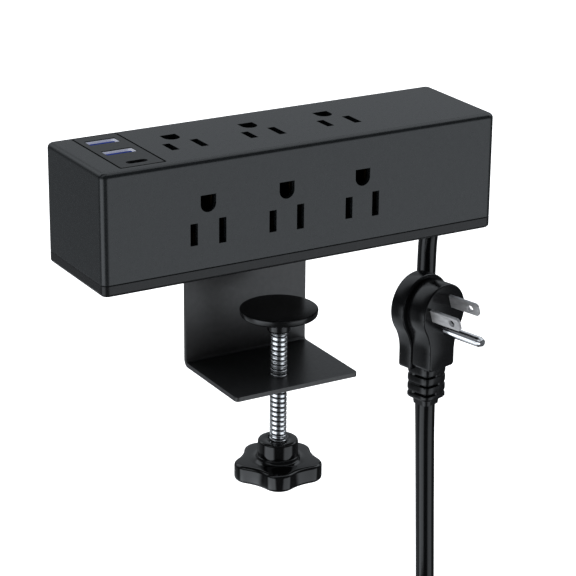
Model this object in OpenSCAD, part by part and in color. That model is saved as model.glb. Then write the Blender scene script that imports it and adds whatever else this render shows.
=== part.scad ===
// Desk power strip with a clamp bracket, two rows of outlets, a USB module and a flat plug.
// Millimetres. X runs along the body, -Y is the outlet face, Z is up.
// Z = 0 is the underside of the body, which sits on the desk. X = Y = 0 is the middle of the body.

/* [Body] */
// outer length of the housing
body_length = 181.7; // [140:0.1:240]
// outer depth of the housing
body_depth = 51.4; // [44:0.1:70]
// outer height with the bottom cover
body_height = 50.1; // [44:0.1:70]
// height of the line where the cover meets the housing
cover_height = 4.9; // [4.6:0.1:10]
// wall thickness of the housing
wall = 2.2; // [1.5:0.1:3]
// floor thickness of the bottom cover
cover_floor = 2.4; // [2:0.1:3]
// radius of the upright edges
edge_radius = 3; // [1:0.1:5]
// radius of the top edges
top_radius = 2.2; // [0.5:0.1:2.9]
// radius of the bottom edges
bottom_radius = 1.5; // [0.3:0.1:2.9]
// radius that makes the shadow line at the cover joint
joint_radius = 0.35; // [0.1:0.05:0.6]

/* [Outlets] */
// centre of the first front outlet along X
front_first_x = -44.9; // [-60:0.1:-30]
// centre of the first top outlet along X
top_first_x = -44.1; // [-60:0.1:-30]
// distance between outlet centres
outlet_pitch = 35.5; // [30:0.1:45]
// height of the front blade slots
front_slot_z = 19.8; // [14:0.1:30]
// blade slots of the top row along Y
top_slot_y = -4.8; // [-12:0.1:4]
// distance between the two blade slots
slot_spacing = 12.7; // [12:0.1:14]
// distance from the slots to the ground hole
ground_offset = 11.9; // [11:0.1:13]
// width of a blade slot
slot_width = 3.3; // [2:0.1:4]
// length of the line slot
line_slot = 9.1; // [7:0.1:10]
// length of the neutral slot
neutral_slot = 10.5; // [8:0.1:12]
// width of the ground hole
ground_width = 6.9; // [5:0.1:8]

/* [USB module] */
// centre of the module along X
usb_x = -70.75; // [-76:0.05:-60]
// centre of the module along Y
usb_y = 1.1; // [-5:0.1:5]
// width of the faceplate along X
usb_width = 18.5; // [16:0.1:24]
// length of the faceplate along Y
usb_length = 43.8; // [36:0.1:45]
// gap round the faceplate
usb_gap = 0.8; // [0.1:0.05:1]
// thickness of the faceplate
usb_plate = 1.5; // [1:0.1:2]
// distance between the ports
usb_pitch = 15.2; // [12:0.1:18]
// Y of the middle port
usb_mid_y = -0.5; // [-3:0.1:3]

/* [Bracket] */
// centre of the bracket along X
bracket_x = -5.3; // [-40:0.1:40]
// width of the bracket
bracket_width = 57.8; // [30:0.1:80]
// sheet thickness
sheet = 1.9; // [1:0.1:3]
// front of the upright plate along Y
plate_y = 14.6; // [5:0.1:20]
// top of the lower plate
shelf_z = -51.8; // [-80:0.1:-40]
// front edge of the lower plate
shelf_front = -29.0; // [-40:0.1:-20]
// front edge of the upper flange
flange_front = -17; // [-20:0.1:-5]
// inside bend radius
bend = 1.2; // [0.5:0.1:3]

/* [Clamp] */
// screw axis along X
screw_x = -6.3; // [-40:0.1:40]
// screw axis along Y
screw_y = -14.6; // [-20:0.1:0]
// outer diameter of the screw
screw_d = 7.2; // [5:0.1:10]
// top of the pressure pad at rest
pad_z = -22.5; // [-40:0.1:-2]
// diameter of the pressure pad
pad_d = 32.6; // [20:0.1:45]
// top of the knob hub at rest
hub_z = -81.1; // [-95:0.1:-62]
// diameter of the knob hub
hub_d = 17; // [10:0.1:22]
// height of the hub above the star
hub_h = 8.8; // [6:0.1:14]
// thickness of the star
star_h = 7.7; // [5:0.1:12]
// centre circle of the five lobes
lobe_circle = 12.1; // [8:0.1:14]
// radius of a lobe
lobe_r = 6.9; // [4:0.1:8]
// radius of the hollow between lobes
dent_r = 20; // [6:0.1:30]

/* [Cord] */
// diameter of the cord
cord_d = 8.6; // [6:0.1:10]
// turns are this far apart
coil_pitch = 9; // [8.6:0.1:12]
// radius of the middle turn
coil_r = 45; // [40:1:60]
// height of the surface the coil lies on
floor_z = -262; // [-320:1:-240]

/* [Plug] */
// middle of the two blades at the plug face, X
plug_x = 88; // [80:0.1:120]
// middle of the two blades at the plug face, Y
plug_y = 5; // [0:0.1:30]
// middle of the two blades, Z
plug_z = -46.4; // [-70:0.1:-30]
// turn of the whole plug about the upright cord
plug_turn = 14; // [-90:1:90]
// turn of the blades about their own direction
blade_turn = 18; // [0:1:90]
// radius of the round head at the rear
head_r = 15; // [13:0.1:20]
// radius of the front tier
front_r = 13.3; // [11:0.1:18]
// depth of the rear tier
rear_tier = 7.6; // [6:0.1:14]
// depth of the front tier
front_tier = 11.3; // [8:0.1:14]
// half width of the neck
neck_half = 8.3; // [6:0.1:10]
// length of the ribbed strain relief
relief_l = 19.5; // [12:0.1:30]

/* [Hidden] */

hl = body_length / 2;
hd = body_depth / 2;
top_in = body_height - wall;        // underside of the top wall
eps = 0.01;
boss_x = hl - 6.35;                 // cover screw bosses
boss_y = 19;
block_d = 12.1;                     // depth of a socket block behind the wall
bar_t = 0.8;                        // thickness of a contact bar
usb_ledge_z = body_height - usb_plate;
board_z = 32;
board_t = 1.6;
shell_top = body_height - 0.4;
board_l = 41;
board_w = 19;
bush_h = 4;
pad_rim = 3;
pad_neck_d = 9.8;
pad_neck = 7.2;
tip_d = 6;
star_z = hub_z - hub_h;
exit_z = 25;                        // cord exit in the middle of the right end face
elbow_x = hl + 7.6;
head_u = 2.2;                       // middle of the head beside the blades' middle
head_z = -3;
head_low = -26.3;                   // lower end of the neck below the head's middle
rear_low = -28.2;                   // the same for the rear tier
neck_off = -0.7;
blend = 20;                         // radius between head and neck
cord_u = 2.5;                       // cord axis in the plug's frame
cord_v = 10;
tail_tilt = 40;                     // the boot leads the cord down and to the rear
tail_l = 37.5;
$fn = 48;

// ---- profiles and boxes ----

// rectangle from (x0, y0) to (x1, y1) with its own radius at the bottom and top corners
module plate2d(x0, y0, x1, y1, rb, rt) {
  b = max(rb, eps);
  t = max(rt, eps);
  translate([x0, y0 + b]) square([x1 - x0, y1 - y0 - b - t]);
  translate([x0 + b, y0]) square([x1 - x0 - 2 * b, b + eps]);
  translate([x0 + t, y1 - t - eps]) square([x1 - x0 - 2 * t, t + eps]);
  for (x = [x0 + b, x1 - b]) translate([x, y0 + b]) circle(b);
  for (x = [x0 + t, x1 - t]) translate([x, y1 - t]) circle(t);
}

// quarter of the same profile for an upright corner of radius rv
module corner2d(z0, z1, rv, rb, rt) {
  intersection() {
    plate2d(-rv, z0, rv, z1, rb, rt);
    translate([0, z0 - 1]) square([rv + 1, z1 - z0 + 2]);
  }
}

// box centred on X and Y with rounded upright, bottom and top edges
module soft_box(l, w, z0, z1, rv, rb, rt) {
  rotate([90, 0, 90]) translate([0, 0, -(l / 2 - rv)]) linear_extrude(l - 2 * rv)
    plate2d(-w / 2, z0, w / 2, z1, rb, rt);
  rotate([90, 0, 0]) translate([0, 0, -(w / 2 - rv)]) linear_extrude(w - 2 * rv)
    plate2d(-l / 2, z0, l / 2, z1, rb, rt);
  for (x = [-1, 1], y = [-1, 1]) translate([x * (l / 2 - rv), y * (w / 2 - rv), 0])
    rotate_extrude() corner2d(z0, z1, rv, rb, rt);
}

module box(x0, x1, y0, y1, z0, z1) {
  translate([x0, y0, z0]) cube([x1 - x0, y1 - y0, z1 - z0]);
}

// a flat slab with round upright corners
module round_slab(l, w, h, r) {
  linear_extrude(h) plate2d(-l / 2, -w / 2, l / 2, w / 2, r, r);
}

// ---- one outlet row, in its own frame: y = 0 is the outlet face, -y points out, z to the ground hole ----

module at_front() { translate([front_first_x, -hd, front_slot_z]) children(); }
module at_top() { translate([top_first_x, top_slot_y, body_height]) rotate([-90, 0, 0]) children(); }

module outlet_holes(depth) {
  for (i = [0:2]) translate([i * outlet_pitch, 0, 0]) {
    box(-slot_spacing / 2 - slot_width / 2, -slot_spacing / 2 + slot_width / 2, -1, depth,
      -line_slot / 2, line_slot / 2);
    box(slot_spacing / 2 - slot_width / 2, slot_spacing / 2 + slot_width / 2, -1, depth,
      -neutral_slot / 2, neutral_slot / 2);
    translate([0, -1, ground_offset]) rotate([-90, 0, 0]) cylinder(d = ground_width, h = depth + 1);
    box(-ground_width / 2, ground_width / 2, -1, depth, ground_offset, ground_offset + 3.7);
  }
}

module socket_block() {
  difference() {
    box(-11.5, 2 * outlet_pitch + 11.5, wall, wall + block_d, -6, 16);
    for (i = [0:2]) translate([i * outlet_pitch, 0, 0]) {
      for (x = [-1, 1]) box(x * slot_spacing / 2 - 2.5, x * slot_spacing / 2 + 2.5, wall - 1,
        wall + block_d + 1, -5.3, 5.3);
      box(-3.9, 3.9, wall - 1, wall + block_d + 1, ground_offset - 3.7, ground_offset + 3.9);
    }
  }
}

// one contact bar: a strip behind the block with a pair of leaves for each outlet
module contact_bar(x, gap, leaf_z0, leaf_z1, strip_z0, strip_z1) {
  y1 = wall + block_d;
  box(x - gap - 1.2, x + 2 * outlet_pitch + gap + 1.2, y1, y1 + bar_t, strip_z0, strip_z1);
  for (i = [0:2], s = [-1, 1]) translate([x + i * outlet_pitch + s * gap, 0, 0])
    box(-0.3, 0.3, wall + 1.2, y1 + eps, leaf_z0, leaf_z1);
}
module line_bar() { contact_bar(-slot_spacing / 2, 1.7, -5, -0.4, -5, -0.8); }
module neutral_bar() { contact_bar(slot_spacing / 2, 1.7, 0.4, 5, 0.8, 5); }
module ground_bar() { contact_bar(0, 3.1, ground_offset - 2, ground_offset + 2, ground_offset - 2,
  ground_offset + 2); }

// ---- body ----

module upper_housing() {
  color([0.05, 0.05, 0.06]) difference() {
    union() {
      difference() {
        soft_box(body_length, body_depth, cover_height, body_height, edge_radius, joint_radius,
          top_radius);
        box(-hl + wall, hl - wall, -hd + wall, hd - wall, cover_height - 1, top_in);
      }
      // screw bosses
      for (x = [-1, 1], y = [-1, 1]) translate([x * boss_x, y * boss_y, cover_floor])
        cylinder(d = 6.6, h = top_in - cover_floor + 1);
      // posts for the circuit board
      for (y = [usb_y - 18.6, usb_y + 18.6]) translate([usb_x - 8.2, y, board_z + board_t])
        cylinder(d = 3.4, h = top_in - board_z - board_t + 1);
      // ledge that carries the faceplate
      box(usb_x - usb_width / 2 - 2, usb_x + usb_width / 2 + 2, -hd + wall - 1, hd - wall + 1,
        top_in - 1.4, top_in + 1);
    }
    at_front() outlet_holes(wall + 1);
    at_top() outlet_holes(wall + 1);
    translate([usb_x, usb_y, usb_ledge_z])
      round_slab(usb_width + 2 * usb_gap, usb_length + 2 * usb_gap, 5, 0.8);
    box(usb_x - usb_width / 2 + 1, usb_x + usb_width / 2 - 1, usb_y - usb_length / 2 + 1.6,
      usb_y + usb_length / 2 - 1.6, top_in - 3, body_height);
    for (x = [-1, 1], y = [-1, 1]) translate([x * boss_x, y * boss_y, cover_floor - 1])
      cylinder(d = 2.5, h = 14);
    for (y = [usb_y - 18.6, usb_y + 18.6]) translate([usb_x - 8.2, y, board_z])
      cylinder(d = 1.6, h = 8);
    // cord exit in the end face
    translate([hl - wall - 1, 0, exit_z]) rotate([0, 90, 0]) cylinder(d = 11.2, h = wall + 2);
  }
}

module flange_pocket(extra) {
  box(bracket_x - bracket_width / 2 - extra, bracket_x + bracket_width / 2 + extra,
    flange_front - extra, plate_y + sheet + extra, -1, sheet);
}

module bracket_hole_places() {
  for (x = [-19, 19], y = [-9.5, 7.5]) translate([bracket_x + x, y, 0]) children();
}

module bottom_cover() {
  color([0.05, 0.05, 0.06]) difference() {
    union() {
      difference() {
        soft_box(body_length, body_depth, 0, cover_height, edge_radius, bottom_radius,
          joint_radius);
        box(-hl + wall, hl - wall, -hd + wall, hd - wall, cover_floor, cover_height + 1);
      }
      // lip that registers inside the housing
      difference() {
        box(-hl + wall + 0.15, hl - wall - 0.15, -hd + wall + 0.15, hd - wall - 0.15,
          cover_floor - 1, cover_height + 2);
        box(-hl + wall + 1.5, hl - wall - 1.5, -hd + wall + 1.5, hd - wall - 1.5,
          cover_floor - 2, cover_height + 3);
        for (x = [-1, 1], y = [-1, 1]) translate([x * boss_x, y * boss_y, cover_floor])
          cylinder(d = 7.4, h = 9);
      }
      // thick pad over the bracket
      box(bracket_x - 31.5, bracket_x + 31.5, -19, 20, cover_floor - 1, 4.6);
    }
    flange_pocket(0.1);
    bracket_hole_places() translate([0, 0, -1]) cylinder(d = 4.4, h = 9);
    for (x = [-1, 1], y = [-1, 1]) translate([x * boss_x, y * boss_y, -1]) {
      cylinder(d = 3.2, h = 9);
      cylinder(d = 5.8, h = 2.2);
    }
  }
}

module cover_screws() {
  color([0.3, 0.3, 0.32]) for (x = [-1, 1], y = [-1, 1]) translate([x * boss_x, y * boss_y, 0])
    difference() {
      union() {
        translate([0, 0, 0.3]) cylinder(d = 5.5, h = 0.9);
        translate([0, 0, 1.2 - eps]) cylinder(d = 2.4, h = 12);
      }
      box(-1.6, 1.6, -0.3, 0.3, 0, 0.8);
      box(-0.3, 0.3, -1.6, 1.6, 0, 0.8);
    }
}

module front_socket_block() { color([0.08, 0.08, 0.085]) at_front() socket_block(); }
module top_socket_block() { color([0.08, 0.08, 0.085]) at_top() socket_block(); }
module front_line_bar() { color([0.78, 0.62, 0.30]) at_front() line_bar(); }
module front_neutral_bar() { color([0.78, 0.62, 0.30]) at_front() neutral_bar(); }
module front_ground_bar() { color([0.78, 0.62, 0.30]) at_front() ground_bar(); }
module top_line_bar() { color([0.78, 0.62, 0.30]) at_top() line_bar(); }
module top_neutral_bar() { color([0.78, 0.62, 0.30]) at_top() neutral_bar(); }
module top_ground_bar() { color([0.78, 0.62, 0.30]) at_top() ground_bar(); }

// ---- USB module ----

module usb_a_places() {
  for (k = [0, 1]) translate([usb_x - 0.1, usb_mid_y + k * usb_pitch, 0]) children();
}
module usb_c_place() { translate([usb_x - 0.1, usb_mid_y - usb_pitch, 0]) children(); }

module usb_faceplate() {
  color([0.04, 0.04, 0.05]) difference() {
    translate([usb_x, usb_y, usb_ledge_z]) round_slab(usb_width, usb_length, usb_plate, 0.6);
    usb_a_places() box(-6.65, 6.65, -3, 3, usb_ledge_z - 1, body_height + 1);
    usb_c_place() translate([0, 0, usb_ledge_z - 1]) round_slab(9.1, 3.4, 4, 1.69);
  }
}

module usb_a_shells() {
  color([0.75, 0.76, 0.78]) usb_a_places() difference() {
    box(-6.6, 6.6, -2.95, 2.95, board_z + board_t, shell_top);
    box(-6.25, 6.25, -2.6, 2.6, board_z + board_t + 1, shell_top + 1);
  }
}

module usb_a_tongues() {
  color([0.05, 0.2, 0.6]) usb_a_places()
    box(-5.6, 5.6, -0.55, 1.3, board_z + board_t + 1, shell_top - 0.5);
}

module usb_c_shell() {
  color([0.75, 0.76, 0.78]) usb_c_place() difference() {
    translate([0, 0, board_z + board_t]) round_slab(9, 3.3, shell_top - board_z - board_t, 1.64);
    translate([0, 0, board_z + board_t + 1]) round_slab(8.4, 2.7, 30, 1.34);
  }
}

module usb_c_tongue() {
  color([0.06, 0.06, 0.07]) usb_c_place()
    box(-3.35, 3.35, -0.35, 0.35, board_z + board_t + 1, shell_top - 0.8);
}

module usb_board() {
  color([0.05, 0.25, 0.12]) difference() {
    translate([usb_x - board_w / 2, usb_y - board_l / 2, board_z]) cube([board_w, board_l, board_t]);
    for (y = [usb_y - 18.6, usb_y + 18.6]) translate([usb_x - 8.2, y, board_z - 1])
      cylinder(d = 1.8, h = 4);
  }
}

module board_screws() {
  color([0.3, 0.3, 0.32]) for (y = [usb_y - 18.6, usb_y + 18.6])
    translate([usb_x - 8.2, y, board_z]) {
      translate([0, 0, -1]) cylinder(d = 3.2, h = 1);
      translate([0, 0, -eps]) cylinder(d = 1.5, h = 7);
    }
}

module usb_transformer() {
  color([0.85, 0.75, 0.25]) {
    translate([usb_x - 6.5, usb_y - 8, board_z - 11]) cube([13, 14, 11]);
    translate([usb_x - 8, usb_y - 5.5, board_z - 9]) cube([16, 9, 7]);
  }
}

module usb_capacitor() {
  color([0.1, 0.12, 0.3]) translate([usb_x + 1, usb_y + 12.5, board_z - 14]) cylinder(d = 8, h = 14);
}

// ---- clamp ----

// side profile of the C bracket in (y, z)
module bracket2d() {
  ro = bend + sheet;
  y0 = plate_y;
  difference() {
    union() {
      translate([flange_front, 0]) square([y0 + sheet - ro - flange_front + eps, sheet]);
      translate([shelf_front, shelf_z - sheet]) square([y0 + sheet - ro - shelf_front + eps, sheet]);
      translate([y0, shelf_z - sheet + ro - eps]) square([sheet, -shelf_z + 2 * sheet - 2 * ro + 2 * eps]);
      intersection() {
        union() {
          translate([y0 + sheet - ro, sheet - ro]) circle(ro);
          translate([y0 + sheet - ro, shelf_z - sheet + ro]) circle(ro);
        }
        union() {
          translate([y0 + sheet - ro, sheet - ro]) square([ro + 1, ro + 1]);
          translate([y0 + sheet - ro, shelf_z - sheet - 1]) square([ro + 1, ro + 1]);
        }
      }
    }
    translate([y0 + sheet - ro, sheet - ro]) circle(bend);
    translate([y0 + sheet - ro, shelf_z - sheet + ro]) circle(bend);
  }
}

module clamp_bracket() {
  color([0.06, 0.06, 0.07]) difference() {
    translate([bracket_x - bracket_width / 2, 0, 0]) rotate([90, 0, 90])
      linear_extrude(bracket_width) bracket2d();
    bracket_hole_places() {
      translate([0, 0, -1]) cylinder(d = 4.4, h = 5);
      translate([0, 0, -eps]) cylinder(d1 = 7.6, d2 = 4.4, h = sheet);
    }
    translate([screw_x, screw_y, shelf_z - sheet - 1]) cylinder(d = screw_d + 0.4, h = 5);
    // rounded front corners of the lower plate
    for (s = [-1, 1]) translate([bracket_x + s * bracket_width / 2, shelf_front, shelf_z - sheet - 1])
      difference() {
        translate([-1.6, -1.6, 0]) cube([3.2, 3.2, 4]);
        translate([-s * 1.6, 1.6, -1]) cylinder(r = 1.6, h = 6);
      }
  }
}

module bracket_screws() {
  color([0.3, 0.3, 0.32]) bracket_hole_places() difference() {
    union() {
      translate([0, 0, 0.1]) cylinder(d1 = 7.2, d2 = 4, h = sheet - 0.1);
      translate([0, 0, 0.1]) cylinder(d = 4, h = 8.1);
    }
    translate([0, 0, -1]) cylinder(d = 2.5, h = 2.2, $fn = 6);
  }
}

module bracket_nuts() {
  color([0.55, 0.56, 0.58]) bracket_hole_places() translate([0, 0, 4.6]) difference() {
    cylinder(d = 7.9, h = 3.1, $fn = 6);
    translate([0, 0, -1]) cylinder(d = 4, h = 6);
  }
}

module threaded_bush() {
  color([0.08, 0.08, 0.09]) translate([screw_x, screw_y, shelf_z - sheet - bush_h]) difference() {
    cylinder(d = 12, h = bush_h);
    translate([0, 0, -1]) cylinder(d = screw_d + 0.1, h = bush_h + 2);
  }
}

module clamp_screw() {
  color([0.8, 0.81, 0.83]) translate([screw_x, screw_y, 0]) {
    translate([0, 0, star_z - 5]) cylinder(d = screw_d, h = pad_z - pad_rim - pad_neck - star_z + 5);
    translate([0, 0, star_z]) cylinder(d = tip_d, h = pad_z - 1.2 - star_z);
  }
}

module pressure_pad() {
  color([0.06, 0.06, 0.07]) translate([screw_x, screw_y, 0]) difference() {
    rotate_extrude() {
      difference() {
        translate([0, pad_z - pad_rim]) square([pad_d / 2 - 0.5, pad_rim]);
        translate([pad_neck_d / 2 + 2, pad_z - pad_rim - 1])
          square([pad_d / 2 - pad_neck_d / 2 - 4.4, 1.9]);
      }
      translate([pad_d / 2 - 0.5, pad_z - 0.5]) circle(0.5);
      translate([pad_d / 2 - 0.6, pad_z - 1.6]) square([0.6, 1.1]);
      translate([0, pad_z - pad_rim - pad_neck]) square([pad_neck_d / 2, pad_neck + 1]);
    }
    translate([0, 0, pad_z - pad_rim - pad_neck - 1])
      cylinder(d = tip_d + 0.1, h = pad_rim + pad_neck + 0.1);
  }
}

// outline of the star: five lobes blended through round hollows that touch them
module star2d(grow) {
  lr = lobe_r + grow;
  dr = dent_r - grow;
  far = lobe_circle * cos(36) + sqrt(pow(lr + dr, 2) - pow(lobe_circle * sin(36), 2));
  dent = [far * cos(36), far * sin(36)];
  touch = [lobe_circle, 0] + lr * (dent - [lobe_circle, 0]) / (lr + dr);
  rotate(-118) difference() {
    union() {
      for (k = [0:4]) rotate(72 * k) translate([lobe_circle, 0]) circle(lr);
      polygon([for (k = [0:4], s = [-1, 1]) [touch.x * cos(72 * k) - s * touch.y * sin(72 * k),
        touch.x * sin(72 * k) + s * touch.y * cos(72 * k)]]);
    }
    for (k = [0:4]) rotate(72 * k + 36) translate([far, 0]) circle(dr);
  }
}

module star_knob() {
  color([0.03, 0.03, 0.035]) translate([screw_x, screw_y, 0]) difference() {
    union() {
      translate([0, 0, star_z - star_h]) linear_extrude(star_h) star2d(-0.35);
      translate([0, 0, star_z - star_h + 0.9]) linear_extrude(star_h - 1.8) star2d(0);
      translate([0, 0, star_z - eps]) cylinder(d1 = hub_d + 0.9, d2 = hub_d, h = hub_h + eps - 0.6);
      translate([0, 0, hub_z - 0.6 - eps]) cylinder(d1 = hub_d, d2 = hub_d - 1, h = 0.6 + eps);
    }
    translate([0, 0, star_z - 5]) cylinder(d = screw_d, h = hub_h + 10);
  }
}

// ---- cord ----

tail = [0, sin(tail_tilt), -cos(tail_tilt)];
elbow = [elbow_x, 0, exit_z];
tail_end = elbow + tail_l * tail;

// smooth curve through hand-chosen points
function hermite(a, b, ta, tb, u) = (2 * u * u * u - 3 * u * u + 1) * a + (u * u * u - 2 * u * u + u) * ta
  + (3 * u * u - 2 * u * u * u) * b + (u * u * u - u * u) * tb;
function tangent(p, i, first, last) = i == 0 ? first * norm(p[1] - p[0])
  : i == len(p) - 1 ? last * norm(p[i] - p[i - 1])
  : (p[i + 1] - p[i - 1]) / norm(p[i + 1] - p[i - 1]);
function unit(v) = v / norm(v);
function leg(p, i, first, last, steps) = let (n = norm(p[i + 1] - p[i]),
    a = unit(tangent(p, i, first, last)) * n, b = unit(tangent(p, i + 1, first, last)) * n)
  [for (k = [0:steps - 1]) hermite(p[i], p[i + 1], a, b, k / steps)];
function route(p, first, last, steps) = concat([for (i = [0:len(p) - 2])
  each leg(p, i, first, last, steps)], [p[len(p) - 1]]);

// frames carried along the curve without twist
function dirs(c, first, last) = [for (i = [0:len(c) - 1]) i == 0 ? first : i == len(c) - 1 ? last
  : unit(c[i + 1] - c[i - 1])];
function carry(d, i, n) = i == len(d) ? [] : let (m = unit(n - (n * d[i]) * d[i]))
  concat([m], carry(d, i + 1, m));
module tube(c, first, last, r, sides) {
  d = dirs(c, first, last);
  n = carry(d, 0, unit(cross(d[0], [0.31, 0.95, 0.05])));
  pts = [for (i = [0:len(c) - 1]) let (b = cross(d[i], n[i])) for (k = [0:sides - 1])
    c[i] + r * (cos(360 * k / sides) * n[i] + sin(360 * k / sides) * b)];
  m = len(c);
  faces = concat([[for (k = [0:sides - 1]) k]], [[for (k = [0:sides - 1]) m * sides - 1 - k]],
    [for (i = [0:m - 2], k = [0:sides - 1]) [i * sides + k, (i + 1) * sides + k,
      (i + 1) * sides + (k + 1) % sides, i * sides + (k + 1) % sides]]);
  polyhedron(pts, faces, convexity = 4);
}

plug_tail = [plug_x + cord_u * cos(plug_turn) - cord_v * sin(plug_turn),
  plug_y + cord_u * sin(plug_turn) + cord_v * cos(plug_turn), plug_z + head_z + head_low - relief_l];
coil_c = [43.8, -25.7, floor_z];
coil_top = floor_z + cord_d / 2 + coil_pitch;   // height of the upper turns' axis
drop_points = [tail_end, [elbow_x, 31, -15.8], [elbow_x, 33.4, -29.4], [elbow_x, 33.3, -78],
  [98.3, 30.6, -120], [97.9, 27.4, -165], [97.7, 25, -204], [97.8, 24.8, -222], [97.8, 20, -239.7],
  [97.8, 6.8, -252.9], [97.8, -11.2, floor_z + cord_d / 2], [97.8, -25.7, floor_z + cord_d / 2]];
rise_a = 75;                        // where the rising strand leaves the coil
rise_points = [coil_c + [54 * cos(rise_a), 54 * sin(rise_a), cord_d / 2 + coil_pitch],
  [75.2, 21.8, -243.9], [88, 18.4, -230.5], [92.7, 17.2, -211], [91.9, 17.1, -185],
  [89.9, 16.4, -140], plug_tail];

module cord_boot() {
  color([0.04, 0.04, 0.045]) {
    // flange outside and neck through the wall
    translate([hl, 0, exit_z]) rotate([0, 90, 0]) cylinder(d = 14.5, h = 2);
    translate([hl - wall - 0.6, 0, exit_z]) rotate([0, 90, 0]) cylinder(d = 11, h = 10);
    translate([hl - wall - 1.8, 0, exit_z]) rotate([0, 90, 0]) cylinder(d = 13.4, h = 1.8);
    translate(elbow) sphere(d = 13);
    translate(elbow) rotate([90 - 90 + tail_tilt + 180, 0, 0]) {
      cylinder(d1 = 13, d2 = 10.6, h = tail_l - 4);
      cylinder(d = 10.2, h = tail_l);
    }
  }
}

module cord_clamp() {
  color([0.08, 0.08, 0.085]) difference() {
    box(hl - 17, hl - 9, -9, 9, exit_z - 6, exit_z + 6);
    translate([hl - 18, 0, exit_z]) rotate([0, 90, 0]) cylinder(d = cord_d, h = 10);
  }
}

module cord_drop() {
  color([0.03, 0.03, 0.035])
    tube(route(drop_points, tail, [0, -1, 0], 4), tail, [0, -1, 0], cord_d / 2, 12);
}
module cord_coil() {
  color([0.03, 0.03, 0.035]) translate(coil_c) rotate_extrude() {
    for (k = [-1:1]) translate([coil_r + k * coil_pitch, cord_d / 2]) circle(d = cord_d);
    for (k = [-1:1]) translate([coil_r + k * coil_pitch, cord_d / 2 + coil_pitch]) circle(d = cord_d);
    translate([coil_r - coil_pitch, 0.4]) square([2 * coil_pitch, cord_d + coil_pitch - 0.8]);
    translate([coil_r - coil_pitch - 3.4, cord_d / 2]) square([2 * coil_pitch + 6.8, coil_pitch]);
  }
}
module cord_rise() {
  color([0.03, 0.03, 0.035])
    tube(route(rise_points, [sin(rise_a), -cos(rise_a), 0], [0, 0, 1], 5),
      [sin(rise_a), -cos(rise_a), 0], [0, 0, 1], cord_d / 2, 12);
}
// outline of the coil's bundle in (radius, height), grown by g
module band2d(g) {
  plate2d(-13.4 - g, -7.9 - g, 13.4 + g, 9 + g, 2.5 + g, 2.5 + g);
}
module cord_ties() {
  color([0.08, 0.08, 0.09]) {
    // band round the two hanging strands
    translate([95.2, 20.95, -206]) rotate(56.5) difference() {
      round_slab(20.6, 11.2, 7, 5.5);
      translate([0, 0, -1]) round_slab(18.2, 8.8, 9, 4.39);
    }
    // bands round the coil
    for (a = [165, 285]) translate(coil_c) rotate(a) translate([coil_r, 0, cord_d + 0.3]) rotate([90, 0, 0])
      translate([0, 0, -4]) linear_extrude(8) difference() {
        band2d(1.2);
        band2d(0);
      }
  }
}

// ---- plug, in its own frame: origin between the blade roots, -y is where the blades point ----

module at_plug() { translate([plug_x, plug_y, plug_z]) rotate(plug_turn) children(); }

module head2d(r, half, low = head_low) {
  circle(r);
  translate([neck_off - half, low]) square([2 * half, -low]);
  for (t = [-1, 1]) mirror([t < 0 ? 1 : 0, 0]) difference() {
    polygon([[0, 0], (r / (r + blend)) * [half + t * neck_off + blend, -blend_z(r, half, t)],
      [half + t * neck_off, -blend_z(r, half, t)], [0, -blend_z(r, half, t)]]);
    translate([half + t * neck_off + blend, -blend_z(r, half, t)]) circle(blend, $fn = 96);
  }
}
function blend_z(r, half, t) = sqrt(pow(r + blend, 2) - pow(half + t * neck_off + blend, 2));

module blade_shapes(extra) {
  rotate([0, -blade_turn, 0]) {
    for (s = [-1, 1]) translate([s * slot_spacing / 2, 0, 0])
      box(-0.75 - extra, 0.75 + extra, -1, 3 + extra, -3.15 - extra, 3.15 + extra);
    translate([0, 3 + extra, -ground_offset]) rotate([90, 0, 0]) cylinder(d = 6 + 2 * extra, h = 3 + extra);
    translate([0, 3, -ground_offset]) rotate([90, 0, 0]) cylinder(d = 4.75 + 2 * extra, h = 8);
  }
}

module plug_body() {
  color([0.03, 0.03, 0.035]) at_plug() {
    translate([head_u, front_tier + rear_tier, head_z]) rotate([90, 0, 0]) {
      translate([0, 0, 1]) linear_extrude(rear_tier - 1) head2d(head_r, neck_half, rear_low);
      linear_extrude(2) head2d(head_r - 1, neck_half - 1, rear_low + 0.8);
    }
    // strain relief
    translate([cord_u, cord_v, head_z + head_low]) mirror([0, 0, 1]) {
      for (k = [0:3]) translate([0, 0, 0.4 + 4.4 * k]) linear_extrude(k == 3 ? 4.7 : 3.2)
        plate2d(-6.9, -6.9, 6.9, 6.9, 3.2, 3.2);
      translate([0, 0, 0.4]) linear_extrude(relief_l - 0.4) plate2d(-5.7, -5.7, 5.7, 5.7, 3, 3);
      translate([0, 0, -2]) linear_extrude(3) plate2d(-5, 1.9, 5, 5.5, 1, 1);
    }
  }
}

module plug_face() {
  color([0.03, 0.03, 0.035]) at_plug() difference() {
    translate([head_u, front_tier, head_z]) rotate([90, 0, 0]) {
      linear_extrude(1) head2d(front_r - 0.9, neck_half - 1.2);
      translate([0, 0, 0.9]) linear_extrude(front_tier - 1.9) head2d(front_r, neck_half - 0.3);
      translate([0, 0, 2]) linear_extrude(front_tier - 2) head2d(front_r - 0.9, neck_half - 1.2);
    }
    blade_shapes(0.02);
  }
}

module plug_blades() {
  color([0.8, 0.81, 0.83]) at_plug() rotate([0, -blade_turn, 0]) for (s = [-1, 1])
    translate([s * slot_spacing / 2, 0, 0]) difference() {
      box(-0.75, 0.75, -16.4, 3, -3.15, 3.15);
      translate([-2, -11.9, 0]) rotate([0, 90, 0]) cylinder(d = 3.1, h = 4);
      for (z = [-1, 1]) translate([-1, -16.4, z * 3.15]) rotate([45, 0, 0]) translate([0, -0.7, -0.7])
        cube([2, 1.4, 1.4]);
    }
}

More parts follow.
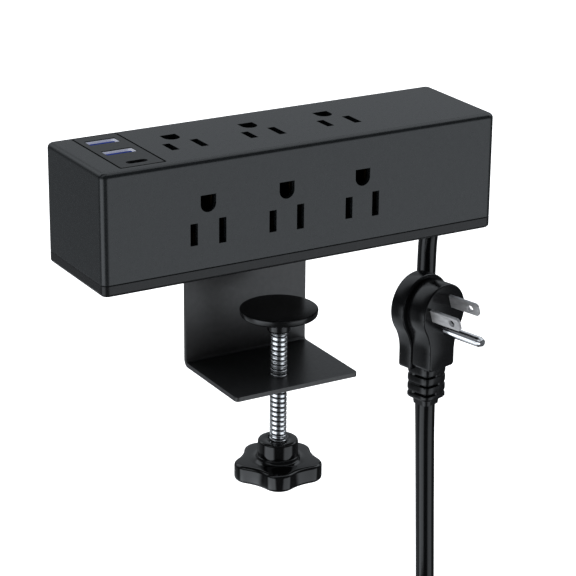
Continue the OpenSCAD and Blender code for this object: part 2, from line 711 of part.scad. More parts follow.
module plug_ground_pin() {
  color([0.8, 0.81, 0.83]) at_plug() rotate([0, -blade_turn, 0]) translate([0, 3, -ground_offset])
    rotate([90, 0, 0]) {
      cylinder(d = 6, h = 2.8);
      translate([0, 0, 2.8 - eps]) cylinder(d = 4.75, h = 0.2 + 19.4 + eps);
      translate([0, 0, 22.4 - eps]) cylinder(d1 = 4.75, d2 = 3.2, h = 2);
    }
}

upper_housing();
bottom_cover();
cover_screws();
front_socket_block();
top_socket_block();
front_line_bar();
front_neutral_bar();
front_ground_bar();
top_line_bar();
top_neutral_bar();
top_ground_bar();
usb_faceplate();
usb_a_shells();
usb_a_tongues();
usb_c_shell();
usb_c_tongue();
usb_board();
board_screws();
usb_transformer();
usb_capacitor();
clamp_bracket();
bracket_screws();
bracket_nuts();
threaded_bush();
clamp_screw();
pressure_pad();
star_knob();
cord_boot();
cord_clamp();
cord_drop();
cord_coil();
cord_rise();
cord_ties();
plug_body();
plug_face();
plug_blades();
plug_ground_pin();
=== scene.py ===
"""Desk power strip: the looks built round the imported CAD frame. Lengths in the helpers are mm."""

import math

import bpy
from mathutils import Matrix, Vector


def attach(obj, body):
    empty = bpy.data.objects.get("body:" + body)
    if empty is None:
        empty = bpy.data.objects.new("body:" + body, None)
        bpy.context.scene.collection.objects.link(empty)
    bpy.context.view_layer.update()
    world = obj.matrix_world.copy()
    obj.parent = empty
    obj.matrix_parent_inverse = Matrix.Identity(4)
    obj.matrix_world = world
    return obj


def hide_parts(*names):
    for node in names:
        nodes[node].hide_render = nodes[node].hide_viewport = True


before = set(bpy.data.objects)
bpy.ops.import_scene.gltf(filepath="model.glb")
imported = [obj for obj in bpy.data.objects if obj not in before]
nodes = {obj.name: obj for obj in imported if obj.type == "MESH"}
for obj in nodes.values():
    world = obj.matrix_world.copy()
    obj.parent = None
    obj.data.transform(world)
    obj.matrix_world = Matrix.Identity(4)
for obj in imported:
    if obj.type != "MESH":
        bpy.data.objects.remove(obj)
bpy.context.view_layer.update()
pi, sin, cos = math.pi, math.sin, math.cos
MM = 0.001
WELD_REACH = 0.000004
BEVEL_FROM = math.radians(35)


def V(*a):
    return Vector(a)


# ---- camera ----

AZ, EL, ROLL = math.radians(-30.26), math.radians(20.234), math.radians(0.535)
TARGET, DISTANCE = V(6.425, 0, -20.808), 944.7
back = V(sin(AZ) * cos(EL), -cos(AZ) * cos(EL), sin(EL))
right = V(cos(AZ), sin(AZ), 0)
up = back.cross(right)
right, up = cos(ROLL) * right + sin(ROLL) * up, cos(ROLL) * up - sin(ROLL) * right
cam_data = bpy.data.cameras.new("camera")
cam_data.lens, cam_data.sensor_width = 141.05, 36
cam_data.clip_start, cam_data.clip_end = 0.05, 60
camera = bpy.data.objects.new("camera", cam_data)
bpy.context.scene.collection.objects.link(camera)
place = Matrix((right, up, back)).transposed().to_4x4()
place.translation = (TARGET + back * DISTANCE) * MM
camera.matrix_world = place
bpy.context.scene.camera = camera


# ---- materials ----

class Shade:
    """A node material built in a few lines."""

    def __init__(self, name, color, rough, metallic=0.0, specular=0.5):
        self.m = bpy.data.materials.new(name)
        self.m.use_nodes = True
        t = self.m.node_tree
        self.t = t
        self.b = t.nodes["Principled BSDF"]
        self.b.inputs["Base Color"].default_value = (*color, 1)
        self.b.inputs["Roughness"].default_value = rough
        self.b.inputs["Metallic"].default_value = metallic
        self.b.inputs["Specular IOR Level"].default_value = specular
        self.co = t.nodes.new("ShaderNodeTexCoord").outputs["Object"]

    def noise(self, scale, detail=2.0, rough=0.5, stretch=None):
        co = self.co
        if stretch:
            mp = self.t.nodes.new("ShaderNodeMapping")
            mp.inputs["Scale"].default_value = stretch
            self.t.links.new(co, mp.inputs["Vector"])
            co = mp.outputs["Vector"]
        n = self.t.nodes.new("ShaderNodeTexNoise")
        n.inputs["Scale"].default_value = scale
        n.inputs["Detail"].default_value = detail
        n.inputs["Roughness"].default_value = rough
        self.t.links.new(co, n.inputs["Vector"])
        return n.outputs["Fac"]

    def ramp(self, fac, a, b, lo=0.3, hi=0.7):
        r = self.t.nodes.new("ShaderNodeMapRange")
        r.inputs["From Min"].default_value, r.inputs["From Max"].default_value = lo, hi
        r.inputs["To Min"].default_value, r.inputs["To Max"].default_value = a, b
        self.t.links.new(fac, r.inputs["Value"])
        return r.outputs["Result"]

    def tint(self, fac, dark, light, lo=0.35, hi=0.65):
        """Base colour drifts between two near colours."""
        r = self.t.nodes.new("ShaderNodeValToRGB")
        r.color_ramp.elements[0].position, r.color_ramp.elements[1].position = lo, hi
        r.color_ramp.elements[0].color = (*dark, 1)
        r.color_ramp.elements[1].color = (*light, 1)
        self.t.links.new(fac, r.inputs["Fac"])
        self.t.links.new(r.outputs["Color"], self.b.inputs["Base Color"])

    def rough(self, fac, a, b):
        self.t.links.new(self.ramp(fac, a, b), self.b.inputs["Roughness"])

    def attribute(self, name):
        n = self.t.nodes.new("ShaderNodeAttribute")
        n.attribute_name = name
        return n.outputs["Fac"]

    def blend(self, a, k, b):
        """a * k + b"""
        n = self.t.nodes.new("ShaderNodeMath")
        n.operation = "MULTIPLY_ADD"
        n.inputs[1].default_value = k
        self.t.links.new(a, n.inputs[0])
        self.t.links.new(b, n.inputs[2])
        return n.outputs["Value"]

    def bump(self, fac, strength, distance):
        n = self.t.nodes.new("ShaderNodeBump")
        n.inputs["Strength"].default_value = strength
        n.inputs["Distance"].default_value = distance
        self.t.links.new(fac, n.inputs["Height"])
        old = self.b.inputs["Normal"]
        if old.is_linked:
            self.t.links.new(old.links[0].from_socket, n.inputs["Normal"])
        self.t.links.new(n.outputs["Normal"], old)


def grained(name, dark, light, rough, grain=2600, strength=0.13, distance=0.00004, **kw):
    """Moulded or painted surface: fine grain, slow drift of colour and of gloss."""
    s = Shade(name, dark, rough, **kw)
    s.tint(s.noise(420, 3), dark, light)
    s.rough(s.noise(700, 3), rough - 0.03, rough + 0.03)
    s.bump(s.noise(grain, 2, 0.6), strength, distance)
    return s


def brushed(name, dark, light, rough, stretch, metallic=1.0):
    s = Shade(name, dark, rough, metallic=metallic)
    streak = s.noise(260, 4, 0.6, stretch)
    s.tint(streak, dark, light)
    s.rough(streak, rough - 0.05, rough + 0.08)
    s.bump(streak, 0.12, 0.00003)
    return s


shell = grained("shell", (0.0085, 0.0098, 0.0108), (0.0105, 0.012, 0.013), 0.25)
cover = grained("cover", (0.0062, 0.0064, 0.0068), (0.0078, 0.008, 0.0085), 0.25, specular=0.33)
face_plate = grained("face_plate", (0.007, 0.0076, 0.0078), (0.0085, 0.0093, 0.0095), 0.36)
# near black; on the socket blocks this is painted shade seen through the socket slots, and the cord clamp
# and USB-C tongue share it
inner = grained("socket_shade_black", (0.0015, 0.0015, 0.0016), (0.0025, 0.0025, 0.0026), 0.7, specular=0.2)
powder = grained("powder_coat", (0.028, 0.028, 0.029), (0.034, 0.034, 0.035), 0.33, grain=2600,
                 strength=0.12, distance=0.00005)
gloss = grained("gloss_black", (0.0022, 0.0022, 0.0024), (0.003, 0.003, 0.0032), 0.08, grain=900,
                strength=0.02)
pad_black = grained("pad_black", (0.0022, 0.0022, 0.0023), (0.0032, 0.0032, 0.0033), 0.22, grain=1800,
                    strength=0.08)
plug_black = grained("plug_black", (0.0034, 0.0035, 0.0039), (0.0046, 0.0047, 0.0052), 0.2, grain=2200,
                     strength=0.1, specular=0.4)
cord_black = grained("cord_black", (0.0016, 0.0017, 0.0019), (0.0024, 0.0025, 0.0028), 0.17, grain=1500,
                     strength=0.06, specular=0.38)
strap_black = grained("strap_black", (0.01, 0.01, 0.011), (0.018, 0.018, 0.019), 0.75, grain=1400,
                      strength=0.8, distance=0.0001)
chrome = Shade("screw_steel", (0.86, 0.87, 0.89), 0.2, metallic=1.0)
streak = chrome.noise(260, 4, 0.6, (0.3, 0.3, 6))
# the steel turns near black in the thread grooves: painted shade in the grooves
chrome.tint(chrome.blend(streak, 0.25, chrome.attribute("painted_groove_shade")), (0.9, 0.91, 0.93), (0.03, 0.03, 0.032),
            0.42, 0.85)
chrome.rough(streak, 0.2, 0.3)
chrome.bump(streak, 0.1, 0.00003)
pin_metal = brushed("pin_metal", (0.72, 0.72, 0.74), (0.86, 0.86, 0.88), 0.14, (2, 0.5, 2))
nickel = brushed("blade_metal", (0.34, 0.34, 0.35), (0.5, 0.5, 0.51), 0.36, (3, 0.5, 3), 0.45)
port_metal_painted_glow = grained("port_metal_painted_glow", (0.75, 0.76, 0.79), (0.9, 0.91, 0.94), 0.3, grain=900, strength=0.05,
                     metallic=0.4)
# the port shells glow faintly: painted light on the metal inside the USB ports
port_metal_painted_glow.b.inputs["Emission Color"].default_value = (0.9, 0.93, 1, 1)
port_metal_painted_glow.b.inputs["Emission Strength"].default_value = 0.22
dark_steel = brushed("dark_steel", (0.1, 0.1, 0.11), (0.2, 0.2, 0.21), 0.34, (2, 2, 2))
zinc = brushed("zinc", (0.45, 0.46, 0.48), (0.6, 0.61, 0.63), 0.3, (2, 2, 2))
# contact bars darkened nearly to black: painted shade on the brass deep inside the socket slots
brass_painted_dark = brushed("brass_painted_dark", (0.1, 0.065, 0.025), (0.15, 0.1, 0.04), 0.5, (4, 1, 1))
blue = grained("usb_blue", (0.004, 0.03, 0.26), (0.006, 0.04, 0.34), 0.6, grain=2000)
blue.b.inputs["Specular IOR Level"].default_value = 0.1
board_green = grained("board_green", (0.01, 0.07, 0.03), (0.02, 0.11, 0.045), 0.35)
tape_yellow = grained("tape_yellow", (0.5, 0.37, 0.04), (0.6, 0.45, 0.06), 0.4)
cap_blue = grained("cap_sleeve", (0.015, 0.02, 0.09), (0.02, 0.03, 0.12), 0.3)

NODE_SHADES = {
    "upper_housing": shell, "bottom_cover": cover, "usb_faceplate": face_plate,
    "front_socket_block": inner, "top_socket_block": inner, "cord_clamp": inner,
    "front_line_bar": brass_painted_dark, "front_neutral_bar": brass_painted_dark, "front_ground_bar": brass_painted_dark,
    "top_line_bar": brass_painted_dark, "top_neutral_bar": brass_painted_dark, "top_ground_bar": brass_painted_dark,
    "cover_screws": dark_steel, "board_screws": dark_steel, "bracket_screws": dark_steel,
    "bracket_nuts": zinc, "usb_a_shells": port_metal_painted_glow, "usb_c_shell": dark_steel,
    "usb_a_tongues": blue, "usb_c_tongue": inner, "usb_board": board_green,
    "usb_transformer": tape_yellow, "usb_capacitor": cap_blue, "clamp_bracket": powder,
    "threaded_bush": gloss, "pressure_pad": pad_black, "star_knob": gloss, "clamp_screw": chrome,
    "cord_boot": plug_black, "plug_body": plug_black, "plug_face": plug_black,
    "plug_blades": nickel, "plug_ground_pin": pin_metal, "cord_drop": cord_black,
    "cord_coil": cord_black, "cord_rise": cord_black, "cord_ties": strap_black,
}
for name, o in nodes.items():
    if not o.material_slots:
        o.data.materials.append(NODE_SHADES[name].m)
    for s in o.material_slots:
        s.material = NODE_SHADES[name].m


def rounded(name, width):
    """Small real edge rounding on a CAD node, by modifiers only."""
    o = nodes[name]
    w = o.modifiers.new("weld", "WELD")
    w.merge_threshold = WELD_REACH
    b = o.modifiers.new("edges", "BEVEL")
    b.width, b.segments, b.limit_method = width * MM, 2, "ANGLE"
    b.angle_limit = BEVEL_FROM
    b.use_clamp_overlap = True
    b.harden_normals = True


# ---- mesh helpers ----

def piece(name, verts, faces, shade, body, replaces=(), crease=38):
    me = bpy.data.meshes.new(name)
    me.from_pydata([tuple(c * MM for c in v) for v in verts], [], faces)
    me.validate()
    for p in me.polygons:
        p.use_smooth = True
    me.set_sharp_from_angle(angle=math.radians(crease))
    me.materials.append(shade.m)
    o = bpy.data.objects.new(name, me)
    bpy.context.scene.collection.objects.link(o)
    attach(o, body)
    if replaces:
        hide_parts(*replaces)
    return o


def grid(rings, capped=True):
    """Faces between closed rings of equal length, with or without end caps."""
    n = len(rings[0])
    verts = [p for r in rings for p in r]
    faces = []
    for i in range(len(rings) - 1):
        for k in range(n):
            a, b = i * n + k, i * n + (k + 1) % n
            faces.append((a, b, b + n, a + n))
    if capped:
        faces.append(tuple(range(n - 1, -1, -1)))
        faces.append(tuple((len(rings) - 1) * n + k for k in range(n)))
    return verts, faces


def many(parts):
    """Several (vertices, faces) pairs as one."""
    verts, faces = [], []
    for v, f in parts:
        faces += [tuple(i + len(verts) for i in q) for q in f]
        verts += v
    return verts, faces


def revolve(profile, centre, n=72):
    """Turns (radius, z) points about the upright axis at centre."""
    return grid([[(centre[0] + r * cos(2 * pi * k / n), centre[1] + r * sin(2 * pi * k / n), z)
                  for k in range(n)] for r, z in profile])


def arc(cx, cy, r, a0, a1, n):
    """Points on a circle, angles in degrees."""
    return [(cx + r * cos(math.radians(a0 + (a1 - a0) * k / n)),
             cy + r * sin(math.radians(a0 + (a1 - a0) * k / n))) for k in range(n + 1)]


def tube(path, ring, first, last):
    """Sweeps ring(i) = [(u, v)...] along path with a frame that doesn't twist."""
    d = [first] + [(path[i + 1] - path[i - 1]).normalized() for i in range(1, len(path) - 1)] + [last]
    n = d[0].cross(V(0.31, 0.95, 0.05)).normalized()
    rings = []
    for i, c in enumerate(path):
        n = (n - d[i] * n.dot(d[i])).normalized()
        b = d[i].cross(n)
        rings.append([tuple(c + n * u + b * v) for u, v in ring(i)])
    return grid(rings)


def circle2d(r, n=28):
    return [(r * cos(2 * pi * k / n), r * sin(2 * pi * k / n)) for k in range(n)]


# ---- cord: out of the boot, down, round the coil and up to the plug ----

HL = 90.85                              # half the body's length
CORD_D, PITCH, FLOOR = 8.6, 9.0, -262.0
COIL_R, COIL_STEP = 45.0, 9.0           # middle turn of the coil, and the way to the next
PLUG, TURN = V(88, 5, -46.4), math.radians(14)
HEAD = (2.2, -3.0)                      # middle of the plug's round head
LOW, REAR_LOW = -26.3, -28.2            # lower ends of the face piece and of the rear body
NECK_OFF, BLEND = -0.7, 20.0            # neck's offset, and the hollow between head and neck
CORD_U, CORD_V, RELIEF = 2.5, 10.0, 19.5


def plug_point(x, y, z):
    """From the plug's own axes to the strip's."""
    return V(PLUG.x + x * cos(TURN) - y * sin(TURN), PLUG.y + x * sin(TURN) + y * cos(TURN), PLUG.z + z)


EXIT_Z, BOOT = 25, 37.5
SLOPE, RISE = math.radians(40), math.radians(75)
elbow = V(HL + 7.6, 0, EXIT_Z)
tail = V(0, sin(SLOPE), -cos(SLOPE))
tail_end = elbow + BOOT * tail
plug_tail = plug_point(CORD_U, CORD_V, HEAD[1] + LOW - RELIEF)
coil_c = V(43.8, -25.7, FLOOR)
ex = elbow.x
drop_points = [tail_end, V(ex, 31, -15.8), V(ex, 33.4, -29.4), V(ex, 33.3, -78), V(98.3, 30.6, -120),
               V(97.9, 27.4, -165), V(97.7, 25, -204), V(97.8, 24.8, -222), V(97.8, 20, -239.7),
               V(97.8, 6.8, -252.9), V(97.8, -11.2, FLOOR + CORD_D / 2),
               V(97.8, -25.7, FLOOR + CORD_D / 2)]
OUTER = COIL_R + COIL_STEP
rise_points = [coil_c + V(OUTER * cos(RISE), OUTER * sin(RISE), CORD_D / 2 + PITCH),
               V(75.2, 21.8, -243.9),
               V(88, 18.4, -230.5), V(92.7, 17.2, -211), V(91.9, 17.1, -185),
               V(89.9, 16.4, -140), plug_tail]


def route(p, first, last, steps=8):
    """The same smooth curve through listed points as in the CAD."""

    def tangent(i):
        if i == 0:
            return first
        return last if i == len(p) - 1 else (p[i + 1] - p[i - 1]).normalized()
    out = []
    for i in range(len(p) - 1):
        n = (p[i + 1] - p[i]).length
        a, b = tangent(i) * n, tangent(i + 1) * n
        for k in range(steps):
            u = k / steps
            out.append((2 * u**3 - 3 * u * u + 1) * p[i] + (u**3 - 2 * u * u + u) * a
                       + (3 * u * u - 2 * u**3) * p[i + 1] + (u**3 - u * u) * b)
    return out + [p[-1]]


def ease(t, a, b):
    """0 before a, 1 after b, smooth between."""
    x = min(max((t - a) / (b - a), 0), 1)
    return x * x * (3 - 2 * x)


def coil_path():
    """Clockwise from above: three turns inwards on the floor, three outwards on top of them."""
    out, end = [], 5 - RISE / (2 * pi)
    n = int(end * 40)
    for k in range(1, n):
        t = end * k / n
        r = OUTER - COIL_STEP * (ease(t, 0.8, 1.0) + ease(t, 1.8, 2.0)
                                 - ease(t, 3.3, 3.55) - ease(t, 4.3, 4.55))
        z = CORD_D / 2 + PITCH * ease(t, 2.6, 2.85)
        a = -2 * pi * t
        out.append(coil_c + V(r * cos(a), r * sin(a), z))
    return out


drop = route(drop_points, tail, V(0, -1, 0))
rise = route(rise_points, V(sin(RISE), -cos(RISE), 0), V(0, 0, 1))
path = drop + coil_path() + rise
section = circle2d(CORD_D / 2 - 0.02)
verts, faces = tube(path, lambda i: section, tail, V(0, 0, 1))
cord = piece("power_cord", verts, faces, cord_black, "strip",
             ("cord_drop", "cord_coil", "cord_rise"))


# ---- straps that hold the cord ----

def loop2d(hw, hh, r):
    """Rounded rectangle as points with outward normals."""
    n, out = 8, []
    for q, (x, y) in enumerate([(hw - r, hh - r), (r - hw, hh - r), (r - hw, r - hh), (hw - r, r - hh)]):
        for k in range(n + 1):
            a = math.radians(90 * q + 90 * k / n)
            out.append(((x + r * cos(a), y + r * sin(a)), (cos(a), sin(a))))
    return out


def strap(hw, hh, r, width, place):
    """A band round a rounded rectangle; place(u, v, w) puts a point in the strip's axes."""
    t0, t1, e, half = 0.02, 1.15, 0.3, width / 2
    prof = [(t0, e - half), (t0 + e, -half), (t1 - e, -half), (t1, e - half),
            (t1, half - e), (t1 - e, half), (t0 + e, half), (t0, half - e)]
    rings = [[tuple(place(p[0] + q[0] * t, p[1] + q[1] * t, w)) for t, w in prof]
             for p, q in loop2d(hw, hh, r)]
    return grid(rings + [rings[0]], capped=False)


def coil_place(angle):
    """Places a strap across the coil, at an angle round it."""
    a = math.radians(angle)

    def place(u, v, w):
        rad = V(cos(a), sin(a), 0)
        tan = V(-sin(a), cos(a), 0)
        return coil_c + rad * (COIL_R + u) + V(0, 0, CORD_D + 0.85 + v) + tan * w
    return place


def strand_place(u, v, w):
    """Places the strap round the hanging and the rising strand."""
    a = math.radians(56.5)
    return V(95.2 + u * cos(a) - v * sin(a), 20.95 + u * sin(a) + v * cos(a), -202.5 + w)


parts = [strap(13.4, 8.45, 2.5, 8, coil_place(a)) for a in (165, 285)]
parts.append(strap(9.12, 4.42, 4.41, 7, strand_place))
verts, faces = many(parts)
ties = piece("cord_straps", verts, faces, strap_black, "strip", ("cord_ties",))


# ---- plug ----

def head_outline(r, half, d, low):
    """Round head and neck in (x, z) about the head's middle, inset by d."""
    r, half, low, R, rc = r - d, half - d, low + d, BLEND + d, max(1.6 - d * 0.5, 0.4)
    pts, sides = [], []
    for s in (1, -1):
        w = half + s * NECK_OFF
        dz = math.sqrt((r + R) ** 2 - (w + R) ** 2)
        sides.append((w, dz, math.degrees(math.atan2(dz, w + R))))
    (wr, zr, ar), (wl, zl, al) = sides
    pts += arc(0, 0, r, -ar, 180 + al, 56)
    pts += arc(-(wl + R), -zl, R, al, 0, 12)[1:]
    pts += arc(-wl + rc, low + rc, rc, 180, 270, 5)
    pts += arc(wr - rc, low + rc, rc, 270, 360, 5)
    pts += arc(wr + R, -zr, R, 180, 180 - ar, 12)[:-1]
    return pts


def tier(layers, r, half, low):
    """One step of the plug; layers are (depth, inset) pairs."""
    rings = [[tuple(plug_point(HEAD[0] + x, y, HEAD[1] + z)) for x, z in head_outline(r, half, d, low)]
             for y, d in layers]
    return grid(rings)


def edge_layers(y, r, step):
    """Quarter round from the flat at y inwards (step = +1 towards +y)."""
    n = 4
    return [(y + step * r * (1 - cos(pi / 2 * k / n)), r * (1 - sin(pi / 2 * k / n)))
            for k in range(n + 1)]


def plain(_):
    return 0


def relief_ring(z, scale, depth_of=plain):
    """Rounded square section of the strain relief, z below the neck; depth_of(angle) cuts into it."""
    pts = []
    for k in range(72):
        a = 2 * pi * k / 72
        r = 7.0 * scale / (abs(cos(a))**4.5 + abs(sin(a))**4.5)**(1 / 4.5) - depth_of(a)
        pts.append(tuple(plug_point(CORD_U + r * cos(a), CORD_V + r * sin(a), HEAD[1] + LOW - z)))
    return pts


def relief():
    """Soft ribs with short staggered slots, front and back, and a short collar under them."""
    rings = [relief_ring(z, k) for z, k in ((-1.5, 0.85), (-0.6, 0.95), (0.3, 0.99))]
    start, rib, gap = 1.0, 3.0, 1.3
    for k in range(3):
        z0 = start + k * (rib + gap)
        middle, half = [(212, 44), (236, 36)][k % 2]

        def cut(a, c=math.radians(middle), w=math.radians(half)):
            away = abs((a - c + pi / 2) % pi - pi / 2)
            return 0.2 + 1.2 * (1 - ease(away, w - 0.1, w + 0.1))
        rings += [relief_ring(z0 + 0.5, 1), relief_ring(z0 + rib - 0.5, 1),
                  relief_ring(z0 + rib, 0.985), relief_ring(z0 + rib + 0.1, 0.98, cut),
                  relief_ring(z0 + rib + gap - 0.1, 0.98, cut), relief_ring(z0 + rib + gap, 0.985)]
    z0 = start + 3 * (rib + gap)
    end = ((0.4, 1), (1.7, 1), (2.2, 0.95), (2.5, 0.86), (2.6, 0.7))
    rings += [relief_ring(z0 + dz, k) for dz, k in end]
    return grid(rings + [relief_ring(RELIEF - 0.05, 0.65)])


body_layers = edge_layers(18.9, 0.7, -1) + edge_layers(11.32, 0.6, 1)[::-1]
verts, faces = many([tier(body_layers, 15.1, 8.3, REAR_LOW), relief()])
plug_rear = piece("plug_rear_shell", verts, faces, plug_black, "strip", ("plug_body",), 50)
front_layers = [(11.3, 0.6), (10.9, 0.6)] + [(10.9 - 0.4 * k / 3, 0.6 - 0.6 * sin(pi / 2 * k / 3))
                                            for k in range(1, 4)] + edge_layers(0, 0.7, 1)[::-1]
verts, faces = tier(front_layers, 13.4, 8.0, LOW)
plug_front = piece("plug_front_shell", verts, faces, plug_black, "strip", ("plug_face",), 50)
rounded("plug_blades", 0.3)
rounded("plug_ground_pin", 0.25)


# ---- boot where the cord leaves the end face ----

def boot():
    """A flange, a bend down and to the rear, and a ribbed tapering sleeve."""
    line = [V(HL + x, 0, EXIT_Z) for x in (-3.4, -1.5, 0, 0.9, 1.0)]
    radii = [5.4, 5.4, 7.1, 7.1, 5.9]
    bend_from, bend_to = V(HL + 1.2, 0, EXIT_Z), elbow + tail * 6.5
    for k in range(1, 9):
        u = k / 8
        line.append((1 - u) ** 2 * bend_from + 2 * u * (1 - u) * elbow + u * u * bend_to)
        radii.append(5.9 + 0.45 * u)
    ribs, z = 7, 6.5
    rib = (BOOT - 0.2 - z) / ribs
    for k in range(ribs):
        r = 6.35 - 1.25 * (k / ribs)
        for f, dr in ((0.12, 0), (0.6, -0.12), (0.66, -0.75), (0.94, -0.75), (1.0, -0.18)):
            line.append(elbow + tail * (z + rib * (k + f)))
            radii.append(r - 0.35 if k == ribs - 1 and f > 0.6 else r + dr)
    return tube(line, lambda i: circle2d(radii[i], 40), V(1, 0, 0), tail)


verts, faces = boot()
piece("cord_strain_boot", verts, faces, plug_black, "strip", ("cord_boot",), 45)


# ---- clamp screw with its thread, pad and star knob ----

AX = (-6.3, -14.6)                      # the screw's axis in x and y
PAD_Z, NECK_Z, HUB_Z, STAR_Z, STAR_H = -22.5, -32.7, -81.1, -89.9, 7.7
PAD_R = 16.28


def thread(z0, z1, outer, pitch):
    """Left-hand thread with broad round crests and narrow grooves, and each point's groove depth, used for
    painted shade in the grooves.
    """
    n, rows = 56, 14
    rings, painted_groove_shade = [], []
    count = int((z1 - z0) / pitch * rows)
    for i in range(count + 1):
        z = z0 + (z1 - z0) * i / count
        ends = max(min(1, (z - z0) / 0.8, (z1 - z) / 0.8), 0)
        ring = []
        for k in range(n):
            ph = ((z - z0) / pitch + k / n) % 1.0
            groove = max(0, 1 - abs(ph - 0.5) / 0.22)
            depth = 0.7 * groove ** 1.2 + 0.05 * (2 * ph - 1) ** 2 * (1 - groove)
            r = outer / 2 - depth * ends - 0.5 * (1 - ends)
            a = 2 * pi * k / n
            ring.append((AX[0] + r * cos(a), AX[1] + r * sin(a), z))
            painted_groove_shade.append(groove)
        rings.append(ring)
    return grid(rings), painted_groove_shade


shank, painted_groove_shade = thread(STAR_Z - 4.9, NECK_Z - 0.05, 7.2, 2.1)
tip = revolve([(2.95, NECK_Z - 0.2), (2.95, PAD_Z - 1.5), (2.6, PAD_Z - 1.25)], AX, 48)
verts, faces = many([shank, tip])
shaft = piece("threaded_shank", verts, faces, chrome, "screw", ("clamp_screw",), 70)
# groove mask on the points, which darkens the steel's colour as painted shade in the thread grooves
dark = shaft.data.attributes.new("painted_groove_shade", "FLOAT", "POINT")
dark.data.foreach_set("value", painted_groove_shade + [0.0] * (len(verts) - len(painted_groove_shade)))
profile = [(3.05, NECK_Z), (4.0, NECK_Z), (4.35, NECK_Z + 0.2), (4.78, NECK_Z + 0.75),
           (4.85, NECK_Z + 1.1), (4.88, NECK_Z + 4.6), (5.1, NECK_Z + 6.0), (6.2, NECK_Z + 7.05),
           (8.0, NECK_Z + 7.25), (PAD_R - 1.3, NECK_Z + 7.22), (PAD_R - 0.7, PAD_Z - 2.85),
           (PAD_R - 0.35, PAD_Z - 2.55), (PAD_R - 0.18, PAD_Z - 2.1),
           (PAD_R - 0.05, PAD_Z - 0.75), (PAD_R, PAD_Z - 0.5), (PAD_R - 0.1, PAD_Z - 0.2),
           (PAD_R - 0.35, PAD_Z - 0.04), (PAD_R - 0.75, PAD_Z), (8, PAD_Z), (2, PAD_Z), (0.02, PAD_Z)]
verts, faces = revolve(profile, AX, 96)
piece("pressure_disc", verts, faces, pad_black, "pad", ("pressure_pad",), 32)

LOBE_C, LOBE_R, DENT_R = 12.1, 6.9, 20.0


def star(grow):
    """Five lobes joined by round hollows, one lobe towards the front left."""
    per, first = 14, -118
    lr, dr = LOBE_R + grow, DENT_R - grow
    far = LOBE_C * cos(pi / 5) + math.sqrt((lr + dr) ** 2 - (LOBE_C * sin(pi / 5)) ** 2)
    dent = V(far * cos(pi / 5), far * sin(pi / 5))
    lobe = V(LOBE_C, 0)
    t = math.degrees(math.atan2((dent - lobe).y, (dent - lobe).x))
    pts = []
    for k in range(5):
        here = [(lobe.x + lr * cos(math.radians(q)), lr * sin(math.radians(q)))
                for q in [-t + 2 * t * j / per for j in range(per)]]
        s = 180 + t
        e = 180 + (36 - t) + 36
        here += [(dent.x + dr * cos(math.radians(q)), dent.y + dr * sin(math.radians(q)))
                 for q in [s + (e - s) * j / per for j in range(per)]]
        a = math.radians(72 * k + first)
        ca, sa = cos(a), sin(a)
        pts += [(ca * x - sa * y, sa * x + ca * y) for x, y in here]
    return pts


def knob():
    """Star with rounded edges, and its hub above it."""
    er, top, low = 1.5, STAR_Z, STAR_Z - STAR_H

    def ring(z, grow):
        return [(AX[0] + x, AX[1] + y, z) for x, y in star(grow)]
    rings = [[(AX[0] + 0.85 * x, AX[1] + 0.85 * y, low + 0.25) for x, y in star(-er)]]
    for k in range(6):
        a = pi / 2 * k / 5
        rings.append(ring(low + er * (1 - cos(a)), -er * (1 - sin(a))))
    for k in range(6):
        a = pi / 2 * k / 5
        rings.append(ring(top - er * (1 - sin(a)), -er * (1 - cos(a))))
    base = rings[-1]
    # shoulder of the star runs up into the flared hub
    for blend, radius, z in [(0.3, 13.5, top + 0.05), (0.75, 11, top + 0.12), (1, 9.7, top + 0.25),
                             (1, 9.15, top + 0.7), (1, 8.95, top + 1.5), (1, 8.8, top + 1.8),
                             (1, 8.62, top + 1.9), (1, 8.6, top + 2.3), (1, 8.5, HUB_Z - 1.0),
                             (1, 8.42, HUB_Z - 0.55), (1, 8.2, HUB_Z - 0.2), (1, 7.8, HUB_Z),
                             (1, 5.0, HUB_Z), (1, 4.6, HUB_Z - 0.25), (1, 3.66, HUB_Z - 0.9),
                             (1, 3.66, STAR_Z + 1)]:
        step = []
        for x, y, _ in base:
            a = math.atan2(y - AX[1], x - AX[0])
            tx, ty = AX[0] + radius * cos(a), AX[1] + radius * sin(a)
            step.append((x + (tx - x) * blend, y + (ty - y) * blend, z))
        rings.append(step)
    return grid(rings)


verts, faces = knob()
piece("star_grip", verts, faces, gloss, "screw", ("star_knob",), 40)

rounded("clamp_bracket", 0.3)
rounded("usb_faceplate", 0.18)
rounded("threaded_bush", 0.4)


# ---- studio ----

floor_shade = Shade("floor_white", (0.86, 0.86, 0.86), 0.9, specular=0.0)
floor_shade.b.inputs["Emission Color"].default_value = (1, 1, 1, 1)
floor_shade.b.inputs["Emission Strength"].default_value = 1.15
floor_shade.tint(floor_shade.noise(3, 2), (0.85, 0.85, 0.85), (0.87, 0.87, 0.87))
REACH, floor_z = 14, FLOOR * MM - 0.0002
floor_mesh = bpy.data.meshes.new("floor")
floor_mesh.from_pydata([(-REACH, -REACH, floor_z), (REACH, -REACH, floor_z), (REACH, REACH, floor_z),
                        (-REACH, REACH, floor_z)], [], [(0, 1, 2, 3)])
floor_mesh.materials.append(floor_shade.m)
floor = bpy.data.objects.new("floor", floor_mesh)
bpy.context.scene.collection.objects.link(floor)
floor.visible_glossy = False

AMBIENT = 0.06
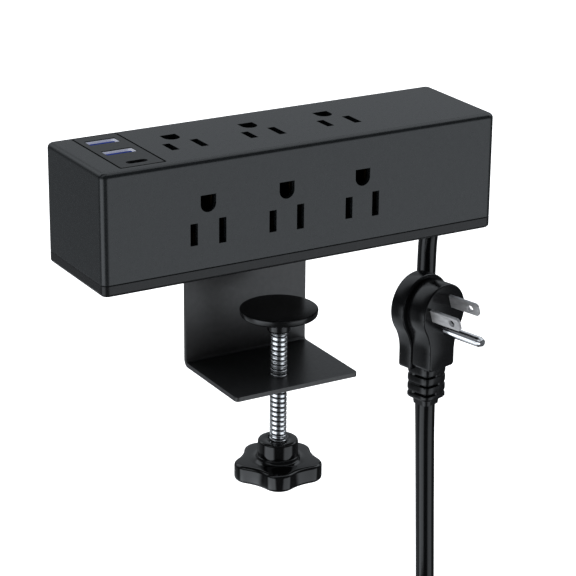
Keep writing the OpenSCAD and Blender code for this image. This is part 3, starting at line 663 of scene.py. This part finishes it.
# azimuth and elevation of the middle, half widths, softness, strength
PATCHES = [(-60, -20, 24, 20, 0.3, 1.12), (-170, -20, 26, 20, 0.3, 1.7), (122, -18, 24, 14, 0.5, 0.14),
           (140, -50, 36, 17, 0.4, 0.6), (60, 21, 46, 16, 0.5, 0.30), (60, 54, 60, 16, 0.3, 0.9),
           (-90, 82, 60, 12, 0.4, 0.9)]


def studio_world():
    """Soft light boxes as smooth patches of sky, placed by direction."""
    w = bpy.data.worlds.new("studio")
    bpy.context.scene.world = w
    w.use_nodes = True
    t = w.node_tree
    bg = t.nodes["Background"]
    co = t.nodes.new("ShaderNodeTexCoord").outputs["Generated"]
    total = None

    def node(kind, op, *ins):
        n = t.nodes.new(kind)
        n.operation = op
        for k, v in enumerate(ins):
            if isinstance(v, bpy.types.NodeSocket):
                t.links.new(v, n.inputs[k])
            else:
                n.inputs[k].default_value = v
        return n.outputs["Value"]

    def fade(value, edge, soft):
        r = t.nodes.new("ShaderNodeMapRange")
        r.interpolation_type = "SMOOTHSTEP"
        r.inputs["From Min"].default_value = edge * (1 + soft)
        r.inputs["From Max"].default_value = edge * (1 - soft)
        t.links.new(value, r.inputs["Value"])
        return r.outputs["Result"]

    for az, el, wide, high, soft, power in PATCHES:
        a, e = math.radians(az), math.radians(el)
        mid = V(cos(e) * cos(a), cos(e) * sin(a), sin(e))
        side = V(-sin(a), cos(a), 0)
        over = mid.cross(side)
        front = node("ShaderNodeVectorMath", "DOT_PRODUCT", co, mid)
        x = node("ShaderNodeMath", "ARCTAN2", node("ShaderNodeVectorMath", "DOT_PRODUCT", co, side), front)
        y = node("ShaderNodeMath", "ARCSINE", node("ShaderNodeVectorMath", "DOT_PRODUCT", co, over))
        fx = fade(node("ShaderNodeMath", "ABSOLUTE", x), math.radians(wide), soft)
        fy = fade(node("ShaderNodeMath", "ABSOLUTE", y), math.radians(high), soft)
        patch = node("ShaderNodeMath", "MULTIPLY", node("ShaderNodeMath", "MULTIPLY", fx, fy), power)
        total = patch if total is None else node("ShaderNodeMath", "ADD", total, patch)
    t.links.new(node("ShaderNodeMath", "ADD", total, AMBIENT), bg.inputs["Strength"])
    bg.inputs["Color"].default_value = (0.94, 1, 1.06, 1)


studio_world()

bpy.context.scene.view_settings.view_transform = "Standard"
bpy.context.scene.view_settings.look = "None"
